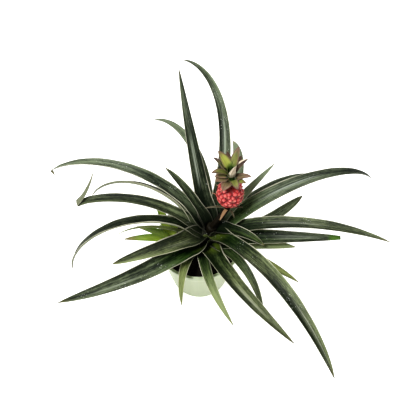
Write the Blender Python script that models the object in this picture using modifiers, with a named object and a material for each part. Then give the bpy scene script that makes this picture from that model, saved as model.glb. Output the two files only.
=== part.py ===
"""Potted ornamental pineapple: a 12 cm nursery pot with soil, a leaning stem that carries a rosette
of strap leaves, a small offset plant beside it, and one fruit with its crown on a short stalk.

Metres, +Z up, origin at the centre of the pot's base. Azimuth 0 points along +X, 90 along +Y.
"""
import math
from collections import namedtuple

import bmesh
import bpy
from mathutils import Matrix, Vector

MM = 0.001
GAP = 0.3 * MM
UP = Vector((0, 0, 1))

# Pot: outer radii from the rim down, wall and base thickness, and the drain holes.
POT_HEIGHT = 100 * MM
POT_RIM_RADIUS = 60 * MM
POT_LIP_WIDTH = 4 * MM
POT_LIP_DROP = 3 * MM
POT_SHOULDER_HEIGHT = 88 * MM
POT_SHOULDER_STEP = 1 * MM
POT_BASE_RADIUS = 40 * MM
POT_WALL = 1.4 * MM
POT_FLOOR = 1.6 * MM
POT_FOOT_CORNER = 1.5 * MM
POT_EDGE_CORNER = 0.6 * MM
POT_NECK_DRAFT = 0.2 * MM
POT_STEPS = 40
DRAIN_HOLE_COUNT = 8
DRAIN_HOLE_RADIUS = 3.5 * MM
DRAIN_HOLE_CIRCLE = 27 * MM
DRAIN_CUTTER_BELOW = 3 * MM
DRAIN_CUTTER_ABOVE = 6 * MM

# Soil: its level, how far it is heaped in the middle, and where the heap and the sunk edge begin.
SOIL_LEVEL = 89.5 * MM
SOIL_HEAP = 1.5 * MM
SOIL_HEAP_SHOULDER = 0.7
SOIL_HEAP_RADIUS = 26 * MM
SOIL_FLAT_RADIUS = 46 * MM
SOIL_EDGE_DROP = 2.5 * MM

# A stalk-like core: a cone from foot to head, and the axes that azimuth and rise are measured in.
Core = namedtuple("Core", "foot head foot_radius head_radius axes")

STEM_ROOT_DEPTH = 14 * MM
STEM = Core(
    foot=Vector((1, -0.5, 76)) * MM,
    head=Vector((18, 2, 136)) * MM,
    foot_radius=8.5 * MM,
    head_radius=8 * MM,
    axes=Matrix.Identity(3),
)
PUP_STEM = Core(
    foot=Vector((-38, 2, 80)) * MM,
    head=Vector((-39, 3, 103)) * MM,
    foot_radius=4.2 * MM,
    head_radius=3.6 * MM,
    axes=Matrix.Identity(3),
)

# Fruit: a barrel on its own leaning axis. The stalk curves from the stem's head to its flat bottom.
FRUIT_CENTRE = Vector((41, 17, 194)) * MM
FRUIT_AXIS = Vector((0.08, 0.24, 0.96)).normalized()
FRUIT_RADIUS = 18.5 * MM
FRUIT_HALF_HEIGHT = 21 * MM
FRUIT_SEAT_RADIUS = 6.5 * MM
FRUIT_BARREL_POWER = 2.4
FRUIT_STEPS = 28
STALK_RADIUS = 4.5 * MM
STALK_BEND = 18 * MM
STALK_TOP_LENGTH = 8 * MM

# Crown: its short core leans a little to the left of the fruit's axis.
CROWN_AXIS = Vector((-0.05, 0.24, 0.96)).normalized()
CROWN_CORE_HEIGHT = 30 * MM
CROWN_CORE_FOOT_RADIUS = 6 * MM
CROWN_CORE_HEAD_RADIUS = 2.5 * MM

# Blade shape shared by every leaf: its tip, its narrow seat, its gutter and its thickness.
TIP_SHARPNESS = 0.85
BASE_WIDTH = 6 * MM
BASE_SPREAD = 40 * MM
TIP_WIDTH = 0.8 * MM
GUTTER_DEPTH = 0.24
MIDRIB_THICKNESS = 1.7 * MM
EDGE_THICKNESS = 0.6 * MM

# Leaves of the main rosette. Height is above the soil along the stem, in mm; azimuth is the heading
# at the stem and sweep its change by the tip; rise is the pitch at the stem and droop its fall by
# the tip; roll turns the blade about its own midrib by the tip. Angles in degrees, sizes in mm.
# Ease and taper are the powers by which the droop and the narrowing build up along the blade.
Leaf = namedtuple(
    "Leaf", "height azimuth sweep rise droop length width roll ease taper", defaults=(1.3, 2.2))
ROSETTE = {
    "back_tall": Leaf(42, 107.8, -8, 50, 32, 215, 25, -8, taper=1.05),
    "back_arch": Leaf(30, 60.8, 73.8, 60, 100, 302, 17.5, -12, taper=1.4),
    "back_hidden": Leaf(13, 47.8, 58, 28, 55, 167, 15, 0),
    "back_left": Leaf(24, 84, 62, 60, 106, 215, 16, 0),
    "back_right": Leaf(25, 33.5, -5, 38, 72, 172, 15, -10),
    "back_right_short": Leaf(38, 34, 2, 42, 10, 120, 14, 0),
    "left_short": Leaf(48, 137, 8, 57, 30, 99, 13, 0, taper=4),
    "left_long": Leaf(41, 152.5, 24, 57, 102.5, 260, 22, 15),
    "left_thin": Leaf(19, 137, 44, 49, 115.5, 205, 13, 50),
    "left_creased": Leaf(31, 159.5, 37, 38, 74.5, 233, 20, 6, taper=1.8),
    "left_arch": Leaf(21, 179, 22, 60, 154, 246, 20, 40, ease=1.0),
    "left_hair": Leaf(13, 170, 12, 32, 80, 124, 5, 0),
    "left_olive": Leaf(34, 214, -16, 20, 21, 136, 29, 0),
    "left_big": Leaf(18, 228, -27, 21, 9, 228, 25, -5, taper=2.0),
    "front_left_small": Leaf(8, 235, 42, 35, 55, 110, 14, 0),
    "front_small": Leaf(6, 267, 38, 35, 50, 147, 15.5, 0),
    "front_middle": Leaf(14, 287, 32, 30, 40, 208, 24, -10),
    "front_narrow": Leaf(16, 321.5, -36, 22, 58, 132, 13, -15),
    "front_big": Leaf(36, 310, -11, 42, 84, 286, 22, -6, taper=3),
    "front_green": Leaf(3, 332, -5, 27, 36, 142, 12, 0),
    "right_cut": Leaf(21, 345.5, 16, 22, 25, 191, 27, 0, taper=1.9),
    "right_under": Leaf(10, 342, 10, 25, 20, 121, 17, 0),
    "right_short": Leaf(48, 338, -6, 29, 58, 70, 17, 0),
    "right_long": Leaf(28, 358, -17, 34, 41, 243, 22, -6, ease=1.0),
    "right_up": Leaf(32, 20, 0, 37, 100, 271, 25, 8, ease=1.7, taper=1.3),
    "right_blunt": Leaf(4.5, 1, 40, 20, 6, 145, 17, 0, taper=6),
}
PUP_LEAVES = {
    "left": Leaf(10, 186, 0, 16, 14, 60, 13, 0),
    "back_left": Leaf(12, 164, 0, 20, 25, 46, 11, 0),
    "back": Leaf(9, 113, 4, 42, 40, 56, 13, 0),
    "back_right": Leaf(12, 62, 0, 52, 25, 38, 10, 0),
    "front_left": Leaf(7, 234, 0, 30, 50, 34, 10, 0),
    "front": Leaf(8, 292, 0, 35, 50, 30, 10, 0),
}

# Damage: a leaf whose tip was cut off at a fraction of its length, and leaves folded over a line
# across the blade. Skew turns that line off square to the midrib, and fold is how far the tip turns.
CUT_TIPS = {"right_cut": 0.92}
Crease = namedtuple("Crease", "fraction skew fold")
CREASES = {
    "left_creased": Crease(0.776, -9.5, 150),
    "left_long": Crease(0.975, 25, -150),
}
CREASE_RADIUS = 1.6 * MM
CREASE_STEPS = 4
CREASE_FLAT = 0.06
CREASE_MARGIN = 0.03

# Crown leaves and bracts: height is along the crown's core or the top of the stalk.
CROWN = {
    "front_top": Leaf(25.5, 142, 0, 55, 12, 24, 15, 0),
    "right_top": Leaf(24, 60, 0, 52, 12, 27, 14, 0),
    "left_top": Leaf(20, 186, 0, 60, 8, 31, 11, 0),
    "left_middle": Leaf(16.5, 192, 0, 40, 55, 22, 12, 0),
    "left_low": Leaf(12, 180, 0, 15, 45, 16, 13, 0),
    "left_base": Leaf(7.5, 192, 0, 12, 30, 15, 13, 0),
    "right_middle": Leaf(20, 8, 0, 50, 15, 24, 10, 0),
    "right_low": Leaf(8, 356, 0, 20, 30, 20, 12, 0),
    "back_top": Leaf(17, 104, 0, 66, 6, 25, 11, 0),
    "back_left": Leaf(14, 134, 0, 40, 20, 22, 12, 0),
    "back_right": Leaf(13, 58, 0, 38, 20, 24, 12, 0),
    "front_dry": Leaf(16, 282, 0, 38, 40, 17, 12, 0),
    "front_low": Leaf(8.6, 280, 0, -5, 20, 15, 11, 0),
    "front_left": Leaf(3.5, 240, 0, 10, 30, 13, 12, 0),
    "front_right": Leaf(4, 325, 0, 30, 25, 17, 10, 0),
}
BRACTS = {
    "left": Leaf(6, 190, 0, 10, 20, 26, 8, 0),
    "front_left": Leaf(4, 235, 0, -5, 30, 18, 7, 0),
    "front_right": Leaf(5, 300, 0, -5, 40, 12, 8, 0),
    "right": Leaf(6, 355, 0, 15, 10, 14, 7, 0),
}
LONG_BLADE_STATIONS = 12
SHORT_BLADE_STATIONS = 7
SHORT_BLADE_LENGTH = 70

COLORS = {
    "pot": ((0.74, 0.81, 0.62), 0.45),
    "soil": ((0.022, 0.018, 0.015), 0.95),
    "stem": ((0.20, 0.24, 0.07), 0.6),
    "leaf": ((0.042, 0.064, 0.028), 0.38),
    "young_leaf": ((0.17, 0.25, 0.07), 0.42),
    "pup_leaf": ((0.32, 0.52, 0.05), 0.42),
    "stalk": ((0.25, 0.20, 0.10), 0.6),
    "bract": ((0.62, 0.30, 0.18), 0.55),
    "fruit": ((0.66, 0.08, 0.09), 0.4),
    "crown_leaf": ((0.22, 0.24, 0.08), 0.5),
}
YOUNG_LEAVES = ("front_left_small", "front_small", "front_green", "right_under")


def clear_scene():
    for scene_object in list(bpy.data.objects):
        bpy.data.objects.remove(scene_object)


def make_collection(name):
    collection = bpy.data.collections.new(name)
    bpy.context.scene.collection.children.link(collection)
    return collection


def material(name):
    found = bpy.data.materials.get(name)
    if found:
        return found
    color, roughness = COLORS[name]
    made = bpy.data.materials.new(name)
    made.use_nodes = True
    shader = made.node_tree.nodes["Principled BSDF"]
    shader.inputs["Base Color"].default_value = (*color, 1)
    shader.inputs["Roughness"].default_value = roughness
    shader.inputs["Metallic"].default_value = 0
    return made


def add_object(name, data, material_name, collection):
    """Link a new object into its collection, with its material."""
    added = bpy.data.objects.new(name, data)
    data.materials.append(material(material_name))
    collection.objects.link(added)
    return added


def axes_along(axis):
    """Axes with Z along the given axis and X as near to world X as that allows."""
    z_axis = axis.normalized()
    y_axis = z_axis.cross(Vector((1, 0, 0))).normalized()
    return Matrix((y_axis.cross(z_axis), y_axis, z_axis)).transposed()


def turned(name, profile, steps, material_name, collection):
    """Turn an (r, z) outline about Z, from its top outer point down and round."""
    mesh = bpy.data.meshes.new(name)
    edges = [(i, i + 1) for i in range(len(profile) - 1)]
    mesh.from_pydata([(r, 0, z) for r, z in profile], edges, [])
    made = add_object(name, mesh, material_name, collection)
    screw = made.modifiers.new("turn", "SCREW")
    screw.steps = steps
    screw.render_steps = steps
    screw.use_merge_vertices = True
    screw.merge_threshold = 0.00001
    screw.use_smooth_shade = True
    return made


def cone_between(name, foot, head, foot_radius, head_radius, collection):
    """Add a closed cone whose ends are centred on foot and head."""
    mesh = bpy.data.meshes.new(name)
    shape = bmesh.new()
    bmesh.ops.create_cone(
        shape, cap_ends=True, segments=20, radius1=foot_radius, radius2=head_radius,
        depth=(head - foot).length,
    )
    shape.to_mesh(mesh)
    shape.free()
    made = bpy.data.objects.new(name, mesh)
    made.location = (foot + head) / 2
    made.rotation_euler = (head - foot).to_track_quat("Z", "Y").to_euler()
    collection.objects.link(made)
    return made


def cut(target, cutter):
    boolean = target.modifiers.new("cut_" + cutter.name, "BOOLEAN")
    boolean.object = cutter
    boolean.operation = "DIFFERENCE"
    boolean.solver = "EXACT"
    cutter.hide_render = True
    cutter.display_type = "WIRE"


def pot_inner_radius(z):
    """Radius of the pot's inner wall at a height."""
    outer = POT_BASE_RADIUS + (shoulder_radius() - POT_BASE_RADIUS) * z / POT_SHOULDER_HEIGHT
    return outer - POT_WALL


def shoulder_radius():
    return POT_RIM_RADIUS - POT_LIP_WIDTH + POT_WALL - POT_SHOULDER_STEP


def make_pot(collection, cutters):
    lip_bottom = POT_HEIGHT - POT_LIP_DROP
    neck = POT_RIM_RADIUS - POT_LIP_WIDTH + POT_WALL
    profile = [
        (POT_RIM_RADIUS - POT_EDGE_CORNER, POT_HEIGHT),
        (POT_RIM_RADIUS, POT_HEIGHT - POT_EDGE_CORNER),
        (POT_RIM_RADIUS, lip_bottom),
        (POT_RIM_RADIUS - POT_WALL, lip_bottom),
        (POT_RIM_RADIUS - POT_WALL, POT_HEIGHT - POT_WALL),
        (neck, POT_HEIGHT - POT_WALL),
        (neck - POT_NECK_DRAFT, POT_SHOULDER_HEIGHT + POT_SHOULDER_STEP),
        (shoulder_radius(), POT_SHOULDER_HEIGHT),
        (POT_BASE_RADIUS, POT_FOOT_CORNER),
        (POT_BASE_RADIUS - POT_FOOT_CORNER, 0),
        (0, 0),
    ]
    inside = [
        (0, POT_FLOOR),
        (pot_inner_radius(POT_FLOOR), POT_FLOOR),
        (pot_inner_radius(POT_SHOULDER_HEIGHT), POT_SHOULDER_HEIGHT),
        (neck - POT_WALL, POT_SHOULDER_HEIGHT + POT_SHOULDER_STEP),
        (neck - POT_WALL, POT_HEIGHT - POT_EDGE_CORNER),
        (neck - POT_WALL + POT_EDGE_CORNER, POT_HEIGHT),
        profile[0],
    ]
    pot = turned("pot", profile + inside, POT_STEPS, "pot", collection)
    for index in range(DRAIN_HOLE_COUNT):
        angle = math.tau * (index + 0.5) / DRAIN_HOLE_COUNT
        centre = Vector((math.cos(angle), math.sin(angle), 0)) * DRAIN_HOLE_CIRCLE
        hole = cone_between(
            f"drain_hole_{index + 1}", centre - DRAIN_CUTTER_BELOW * UP,
            centre + DRAIN_CUTTER_ABOVE * UP, DRAIN_HOLE_RADIUS, DRAIN_HOLE_RADIUS, cutters,
        )
        cut(pot, hole)


def make_soil(collection, cutters):
    """Soil that fills the pot, with a socket where each stem is rooted."""
    bottom = POT_FLOOR + GAP
    profile = [
        (0, SOIL_LEVEL + SOIL_HEAP),
        (SOIL_HEAP_RADIUS, SOIL_LEVEL + SOIL_HEAP_SHOULDER * SOIL_HEAP),
        (SOIL_FLAT_RADIUS, SOIL_LEVEL),
        (pot_inner_radius(POT_SHOULDER_HEIGHT) - GAP, SOIL_LEVEL - SOIL_EDGE_DROP),
        (pot_inner_radius(bottom) - GAP, bottom),
        (0, bottom),
    ]
    soil = turned("potting_soil", profile, POT_STEPS, "soil", collection)
    for name, core in (("stem_socket", STEM), ("pup_socket", PUP_STEM)):
        along = (core.head - core.foot).normalized()
        socket = cone_between(
            name, core.foot - GAP * along, core.head, core.foot_radius + GAP, core.head_radius + GAP,
            cutters,
        )
        cut(soil, socket)


def make_core(name, core, material_name, collection):
    made = cone_between(name, core.foot, core.head, core.foot_radius, core.head_radius, collection)
    made.data.materials.append(material(material_name))


def seat_on_core(core, height, leaf):
    """Where a leaf's midrib starts: a gap off the core's side, at a height along the core."""
    axis = core.head - core.foot
    heading = core.axes @ Vector((math.cos(leaf.azimuth), math.sin(leaf.azimuth), 0))
    fraction = height / axis.length
    radius = core.foot_radius + (core.head_radius - core.foot_radius) * fraction
    slant = math.sqrt(1 - heading.dot(axis.normalized()) ** 2)
    backward = MIDRIB_THICKNESS / 2 * abs(math.sin(leaf.rise))
    return core.foot + axis * fraction + heading * (radius + GAP + backward) / slant


def blade_spread(leaf, fraction):
    """How far a blade has opened from its narrow seat, from 0 to 1, at a fraction of its length."""
    spread = min(1, fraction * leaf.length / min(BASE_SPREAD, leaf.length / 3))
    return spread * spread * (3 - 2 * spread)


def blade_width(leaf, fraction):
    """Width of a blade: narrow at the seat, tapering to the tip."""
    taper = (1 - fraction ** leaf.taper) ** TIP_SHARPNESS
    base = min(BASE_WIDTH, leaf.width / 2)
    return max(TIP_WIDTH, (base + (leaf.width - base) * blade_spread(leaf, fraction)) * taper)


def direction(heading, pitch):
    return Vector((
        math.cos(pitch) * math.cos(heading), math.cos(pitch) * math.sin(heading), math.sin(pitch)))


def tangent_at(leaf, fraction):
    heading = leaf.azimuth + leaf.sweep * fraction
    return direction(heading, leaf.rise - leaf.droop * fraction ** leaf.ease)


def blade_stations(leaf, start, axes, fractions):
    """Points along the arched midrib, each as (fraction, point, side, normal)."""
    stations = []
    point = start.copy()
    last = fractions[0]
    for fraction in fractions:
        point = point + axes @ tangent_at(leaf, (last + fraction) / 2) * leaf.length * (fraction - last)
        last = fraction
        heading = leaf.azimuth + leaf.sweep * fraction
        tangent = tangent_at(leaf, fraction)
        turn = Matrix.Rotation(leaf.roll * blade_spread(leaf, fraction), 3, tangent)
        side = turn @ Vector((-math.sin(heading), math.cos(heading), 0))
        stations.append((fraction, point, axes @ side, axes @ tangent.cross(side)))
    return stations


def fold_over(stations, crease):
    """Fold the stations past a crease over its line, upward for a positive fold, downward if not."""
    before = [station for station in stations if station[0] < crease.fraction]
    fraction, corner, side, normal = next(s for s in stations if s[0] == crease.fraction)
    after = [station for station in stations if station[0] > crease.fraction]
    skew, fold = math.radians(crease.skew), math.radians(crease.fold)
    line = side * math.cos(skew) + side.cross(normal) * math.sin(skew)
    radius = math.copysign(CREASE_RADIUS, fold)
    centre = corner + normal * radius
    bend = []
    for step in range(CREASE_STEPS + 1):
        turn = Matrix.Rotation(-fold * step / CREASE_STEPS, 3, line)
        point = centre - turn @ normal * radius
        bend.append((fraction, point, line / math.cos(skew), turn @ normal))
    end = bend[-1][1]
    folded = [(f, end + turn @ (p - corner), turn @ s, turn @ n) for f, p, s, n in after]
    return before + bend + folded


def blade_fractions(row, cut_at, crease):
    """Where along its length a blade has a section: evenly to its tip, and at any crease."""
    count = SHORT_BLADE_STATIONS if row.length < SHORT_BLADE_LENGTH else LONG_BLADE_STATIONS
    fractions = [cut_at * index / (count - 1) for index in range(count)]
    if crease:
        margin = min(CREASE_MARGIN, (1 - crease.fraction) / 2)
        fractions = [f for f in fractions if abs(f - crease.fraction) > margin]
        fractions += [crease.fraction - margin, crease.fraction, crease.fraction + margin]
    return sorted(fractions)


def openness(fraction, crease):
    """How far the gutter keeps its depth, from 0 at a crease, where the blade is pressed flat, to 1."""
    return min(1, abs(fraction - crease.fraction) / CREASE_FLAT) if crease else 1


def make_blade(name, row, core, foot_height, material_name, collection, cut_at=1, crease=None):
    """Loft a leaf: a gutter-shaped section that changes along an arched midrib."""
    leaf = Leaf(
        row.height * MM, math.radians(row.azimuth), math.radians(row.sweep), math.radians(row.rise),
        math.radians(row.droop), row.length * MM, row.width * MM, math.radians(row.roll),
        row.ease, row.taper,
    )
    start = seat_on_core(core, foot_height + leaf.height, leaf)
    stations = blade_stations(leaf, start, core.axes, blade_fractions(row, cut_at, crease))
    if crease:
        stations = fold_over(stations, crease)
    shape = bmesh.new()
    rings = []
    for fraction, point, side, normal in stations:
        half = blade_width(leaf, fraction) / 2
        lift = GUTTER_DEPTH * 2 * half * blade_spread(leaf, fraction) * openness(fraction, crease)
        thickness = max(EDGE_THICKNESS, MIDRIB_THICKNESS * min(1, 4 * half / leaf.width))
        outline = (
            (half, lift + EDGE_THICKNESS / 2), (half, lift - EDGE_THICKNESS / 2), (0, -thickness / 2),
            (-half, lift - EDGE_THICKNESS / 2), (-half, lift + EDGE_THICKNESS / 2), (0, thickness / 2),
        )
        rings.append([shape.verts.new(point + side * s + normal * n) for s, n in outline])
    for ring, following in zip(rings, rings[1:]):
        for index in range(6):
            after = (index + 1) % 6
            shape.faces.new((ring[index], ring[after], following[after], following[index]))
    for ring in (rings[0], rings[-1]):
        shape.faces.new((ring[5], ring[2], ring[1], ring[0]))
        shape.faces.new((ring[2], ring[5], ring[4], ring[3]))
    bmesh.ops.recalc_face_normals(shape, faces=shape.faces)
    mesh = bpy.data.meshes.new(name)
    shape.to_mesh(mesh)
    shape.free()
    mesh.shade_smooth()
    mesh.set_sharp_from_angle(angle=math.radians(40))
    add_object(name, mesh, material_name, collection)


def fruit_profile():
    """Barrel outline from the flat crown seat down to the flat stalk seat."""
    rings = 12
    profile = []
    for index in range(rings + 1):
        level = math.cos(math.pi * index / rings)
        bulge = (1 - abs(level) ** FRUIT_BARREL_POWER) ** (1 / FRUIT_BARREL_POWER)
        radius = max(FRUIT_SEAT_RADIUS, FRUIT_RADIUS * bulge)
        profile.append((radius, FRUIT_HALF_HEIGHT * level))
    return [(0, FRUIT_HALF_HEIGHT)] + profile + [(0, -FRUIT_HALF_HEIGHT)]


def make_fruit(collection):
    fruit = turned("fruit", fruit_profile(), FRUIT_STEPS, "fruit", collection)
    fruit.location = FRUIT_CENTRE
    fruit.rotation_euler = axes_along(FRUIT_AXIS).to_euler()


def make_stalk(collection):
    """Curve the fruit's stalk from the stem's head to the fruit's flat bottom."""
    stem_axis = (STEM.head - STEM.foot).normalized()
    start = STEM.head + GAP * stem_axis
    end = FRUIT_CENTRE - FRUIT_AXIS * (FRUIT_HALF_HEIGHT + GAP)
    path = bpy.data.curves.new("fruit_stalk", "CURVE")
    path.dimensions = "3D"
    path.resolution_u = 8
    path.render_resolution_u = 0
    path.bevel_depth = STALK_RADIUS
    path.bevel_resolution = 3
    path.use_fill_caps = True
    spline = path.splines.new("BEZIER")
    spline.bezier_points.add(1)
    for point, place, along in zip(spline.bezier_points, (start, end), (stem_axis, FRUIT_AXIS)):
        point.co = place
        point.handle_left = place - STALK_BEND * along
        point.handle_right = place + STALK_BEND * along
    add_object("fruit_stalk", path, "stalk", collection)


def crown_core():
    """The crown's core, set just high enough on the fruit for its tilted foot to clear the top."""
    tilt = CROWN_AXIS.angle(FRUIT_AXIS)
    lift = GAP + CROWN_CORE_FOOT_RADIUS * math.sin(tilt)
    foot = FRUIT_CENTRE + FRUIT_AXIS * (FRUIT_HALF_HEIGHT + lift)
    return Core(
        foot, foot + CROWN_AXIS * CROWN_CORE_HEIGHT, CROWN_CORE_FOOT_RADIUS, CROWN_CORE_HEAD_RADIUS,
        axes_along(CROWN_AXIS),
    )


def stalk_top():
    """The straight end of the stalk under the fruit, where the bracts sit."""
    head = FRUIT_CENTRE - FRUIT_AXIS * (FRUIT_HALF_HEIGHT + GAP)
    foot = head - FRUIT_AXIS * STALK_TOP_LENGTH
    return Core(foot, head, STALK_RADIUS + GAP, STALK_RADIUS, axes_along(FRUIT_AXIS))


def main():
    clear_scene()
    plant = make_collection("potted_pineapple")
    cutters = make_collection("cutters")
    make_pot(plant, cutters)
    make_soil(plant, cutters)

    make_core("stem", STEM, "stem", plant)
    for name, row in ROSETTE.items():
        color = "young_leaf" if name in YOUNG_LEAVES else "leaf"
        make_blade(
            "leaf_" + name, row, STEM, STEM_ROOT_DEPTH, color, plant,
            cut_at=CUT_TIPS.get(name, 1), crease=CREASES.get(name),
        )

    make_core("pup_stem", PUP_STEM, "stem", plant)
    for name, row in PUP_LEAVES.items():
        make_blade("pup_leaf_" + name, row, PUP_STEM, SOIL_LEVEL - PUP_STEM.foot.z, "pup_leaf", plant)

    make_stalk(plant)
    for name, row in BRACTS.items():
        make_blade("bract_" + name, row, stalk_top(), 0, "bract", plant)
    make_fruit(plant)
    core = crown_core()
    make_core("crown_core", core, "crown_leaf", plant)
    for name, row in CROWN.items():
        make_blade("crown_leaf_" + name, row, core, 0, "crown_leaf", plant)


main()
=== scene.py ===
"""Looks of the potted ornamental pineapple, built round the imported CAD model.

Every leaf, bract and crown leaf gets a fine blade with a clasping base, the fruit gets its eyes,
and the pot, soil, stems and stalk get finished surfaces. Millimetres inside, metres in the meshes.
"""
from collections import namedtuple
from math import copysign, cos, hypot, pi, radians, sin, sqrt, tau

import bmesh
import bpy
import numpy as np
from mathutils import Matrix, Vector, noise


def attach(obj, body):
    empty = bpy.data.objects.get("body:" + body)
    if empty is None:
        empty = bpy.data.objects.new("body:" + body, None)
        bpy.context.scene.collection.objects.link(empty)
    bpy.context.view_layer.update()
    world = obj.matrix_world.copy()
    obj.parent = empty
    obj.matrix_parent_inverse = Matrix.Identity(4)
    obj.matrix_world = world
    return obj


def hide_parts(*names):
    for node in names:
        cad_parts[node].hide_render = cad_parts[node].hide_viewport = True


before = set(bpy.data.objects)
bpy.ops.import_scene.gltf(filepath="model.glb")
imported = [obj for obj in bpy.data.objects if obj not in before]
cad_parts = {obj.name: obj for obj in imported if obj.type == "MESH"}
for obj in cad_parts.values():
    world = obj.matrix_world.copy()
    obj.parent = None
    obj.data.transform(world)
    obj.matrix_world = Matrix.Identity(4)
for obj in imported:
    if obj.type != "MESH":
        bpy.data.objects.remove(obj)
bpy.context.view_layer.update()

MM = 0.001
SEED = 7

# ---------------- the plant's plan, as in the CAD

Core = namedtuple("Core", "foot head foot_radius head_radius axes")
# A Leaf starts at a height up its core, heads along its azimuth and rises; sweep and droop turn it
# from foot to tip, ease and taper say how late it droops and narrows. Angles are in degrees.
Leaf = namedtuple(
    "Leaf", "height azimuth sweep rise droop length width roll ease taper", defaults=(0, 1.3, 2.2))
Look = namedtuple(
    "Look", "light yellow dry base streak flecked tip gutter wave sheath foot side at",
    defaults=(0.0, 0.0, 0.0, 0.0, 0.0, 0.1, 0.9, 1.0, 15.0, 0.15, 0.0, 0.5))

STEM_ROOT_DEPTH = 14
SOIL_LEVEL = 89.5
STEM = Core(Vector((1, -0.5, 76)), Vector((18, 2, 136)), 8.5, 8, Matrix.Identity(3))
PUP_STEM = Core(Vector((-38, 2, 80)), Vector((-39, 3, 103)), 4.2, 3.6, Matrix.Identity(3))
FRUIT_CENTRE = Vector((41, 17, 194))
FRUIT_AXIS = Vector((0.08, 0.24, 0.96)).normalized()
FRUIT_HALF_HEIGHT = 21
CROWN_AXIS = Vector((-0.05, 0.24, 0.96)).normalized()
CROWN_GAP = 0.3
CROWN_HEIGHT = 30
STALK_RADIUS = 4.1

ROSETTE = {
    "back_tall": Leaf(42, 107.8, -8, 50, 32, 215, 25, -8, taper=1.05),
    "back_arch": Leaf(30, 60.8, 73.8, 60, 100, 302, 17.5, -12, taper=1.4),
    "back_hidden": Leaf(13, 47.8, 58, 28, 55, 167, 15),
    "back_left": Leaf(24, 84, 62, 60, 106, 215, 16),
    "back_right": Leaf(25, 33.5, -5, 38, 72, 172, 15, -10),
    "back_right_short": Leaf(38, 34, 2, 42, 10, 120, 14),
    "left_short": Leaf(48, 137, 8, 57, 30, 99, 13, taper=4),
    "left_long": Leaf(41, 152.5, 24, 57, 102.5, 260, 22, 15),
    "left_thin": Leaf(19, 137, 44, 49, 115.5, 205, 13, 50),
    "left_creased": Leaf(31, 159.5, 37, 38, 74.5, 233, 20, 6, taper=1.8),
    "left_arch": Leaf(21, 179, 22, 60, 154, 246, 20, 40, ease=1.0),
    "left_hair": Leaf(13, 170, 12, 32, 80, 124, 5),
    "left_olive": Leaf(34, 214, -16, 20, 21, 136, 29),
    "left_big": Leaf(18, 228, -27, 21, 9, 228, 25, -5, taper=2.0),
    "front_left_small": Leaf(8, 235, 42, 35, 55, 110, 14),
    "front_small": Leaf(6, 267, 38, 35, 50, 147, 15.5),
    "front_middle": Leaf(14, 287, 32, 30, 40, 208, 24, -10),
    "front_narrow": Leaf(16, 321.5, -36, 22, 58, 132, 13, -15),
    "front_big": Leaf(36, 310, -11, 42, 84, 286, 22, -6, taper=3),
    "front_green": Leaf(3, 332, -5, 27, 36, 142, 12),
    "right_cut": Leaf(21, 345.5, 16, 22, 25, 191, 27, taper=1.9),
    "right_under": Leaf(10, 342, 10, 25, 20, 121, 17),
    "right_short": Leaf(48, 338, -6, 29, 58, 70, 17),
    "right_long": Leaf(28, 358, -17, 34, 41, 243, 22, -6, ease=1.0),
    "right_up": Leaf(32, 20, 0, 37, 100, 271, 25, 8, ease=1.7, taper=1.3),
    "right_blunt": Leaf(4.5, 1, 40, 20, 6, 145, 17, taper=6),
}
PUP_LEAVES = {
    "left": Leaf(10, 186, 0, 16, 14, 60, 13),
    "back_left": Leaf(12, 164, 0, 20, 25, 46, 11),
    "back": Leaf(9, 113, 4, 42, 40, 56, 13),
    "back_right": Leaf(12, 62, 0, 52, 25, 38, 10),
    "front_left": Leaf(7, 234, 0, 30, 50, 34, 10),
    "front": Leaf(8, 292, 0, 35, 50, 30, 10),
}
CROWN = {
    "front_top": Leaf(25.5, 142, 0, 55, 12, 24, 15),
    "right_top": Leaf(24, 60, 0, 52, 12, 27, 14),
    "left_top": Leaf(20, 186, 0, 60, 8, 31, 11),
    "left_middle": Leaf(16.5, 192, 0, 40, 55, 22, 12),
    "left_low": Leaf(12, 180, 0, 15, 45, 16, 13),
    "left_base": Leaf(7.5, 192, 0, 12, 30, 15, 13),
    "right_middle": Leaf(20, 8, 0, 50, 15, 24, 10),
    "right_low": Leaf(8, 356, 0, 20, 30, 20, 12),
    "back_top": Leaf(17, 104, 0, 66, 6, 25, 11),
    "back_left": Leaf(14, 134, 0, 40, 20, 22, 12),
    "back_right": Leaf(13, 58, 0, 38, 20, 24, 12),
    "front_dry": Leaf(16, 282, 0, 38, 40, 17, 12),
    "front_low": Leaf(8.6, 280, 0, -5, 20, 15, 11),
    "front_left": Leaf(3.5, 240, 0, 10, 30, 13, 12),
    "front_right": Leaf(4, 325, 0, 30, 25, 17, 10),
}
BRACTS = {
    "left": Leaf(6, 190, 0, 10, 20, 26, 8),
    "front_left": Leaf(4, 235, 0, -5, 30, 18, 7),
    "front_right": Leaf(5, 300, 0, -5, 40, 12, 8),
    "right": Leaf(6, 355, 0, 15, 10, 14, 7),
}
CUT_TIPS = {"right_cut": 0.92}
FOOT_WIDTHS = {"left_hair": 8.0}
Crease = namedtuple("Crease", "fraction skew fold")
CREASES = {
    "left_creased": Crease(0.776, -9.5, 150),
    "left_long": Crease(0.975, 25, -150),
}
CREASE_RADIUS = 1.6
CREASE_FLAT = 0.06
TIP_SHARPNESS = 0.72
TIP_WIDTH = 1.1
TIP_TRIM = 0.9985
YOUNG_LEAVES = ("front_left_small", "front_small", "front_green", "right_under")

# ---------------- how each blade looks

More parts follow.
